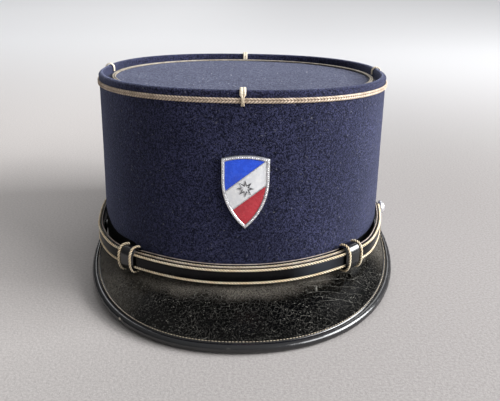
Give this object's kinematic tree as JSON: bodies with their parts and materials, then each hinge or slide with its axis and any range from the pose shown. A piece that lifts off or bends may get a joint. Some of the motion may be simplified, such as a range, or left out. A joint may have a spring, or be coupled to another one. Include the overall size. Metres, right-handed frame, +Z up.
{
  "type": "kepi cap",
  "caption": "Stiff oval cloth kepi cap with a sunken flat top, bound leather visor, two-layer false chin strap with slide loops and side buttons, and a shield badge.",
  "frame": {"origin": "on the surface that the cap stands on, under the middle of its bounding box", "axes": "+Z up, the front of the cap faces -Y, the wearer's left side is at +X"},
  "size_m": [0.1859, 0.2596, 0.1181],
  "materials": {
    "crown_wool": "matte",
    "top_wool": "matte",
    "gold_braid": "satin",
    "gold_cord": "satin",
    "visor_leather": "satin",
    "patent_leather": "gloss",
    "silver": "satin",
    "blue_enamel": "gloss",
    "white_enamel": "gloss",
    "red_enamel": "gloss"
  },
  "bodies": {
    "root": {"crown_side": "crown_wool", "crown_top": "top_wool", "side_braid": "gold_braid", "top_braid": "gold_braid", "rim_tab_front": "gold_braid", "rim_tab_right": "gold_braid", "rim_tab_back": "gold_braid", "rim_tab_left": "gold_braid", "visor": "visor_leather", "visor_binding": "patent_leather", "strap_right": "patent_leather", "strap_left": "patent_leather", "strap_right_cord_top": "gold_cord", "strap_right_cord_bottom": "gold_cord", "strap_left_cord_top": "gold_cord", "strap_left_cord_bottom": "gold_cord", "loop_right": "patent_leather", "loop_left": "patent_leather", "loop_right_cord_first": "gold_cord", "loop_right_cord_second": "gold_cord", "loop_left_cord_first": "gold_cord", "loop_left_cord_second": "gold_cord", "button_right": "silver", "button_left": "silver", "badge_plate": "silver", "badge_blue": "blue_enamel", "badge_white": "white_enamel", "badge_red": "red_enamel", "badge_star": "silver"}
  },
  "joints": []
}
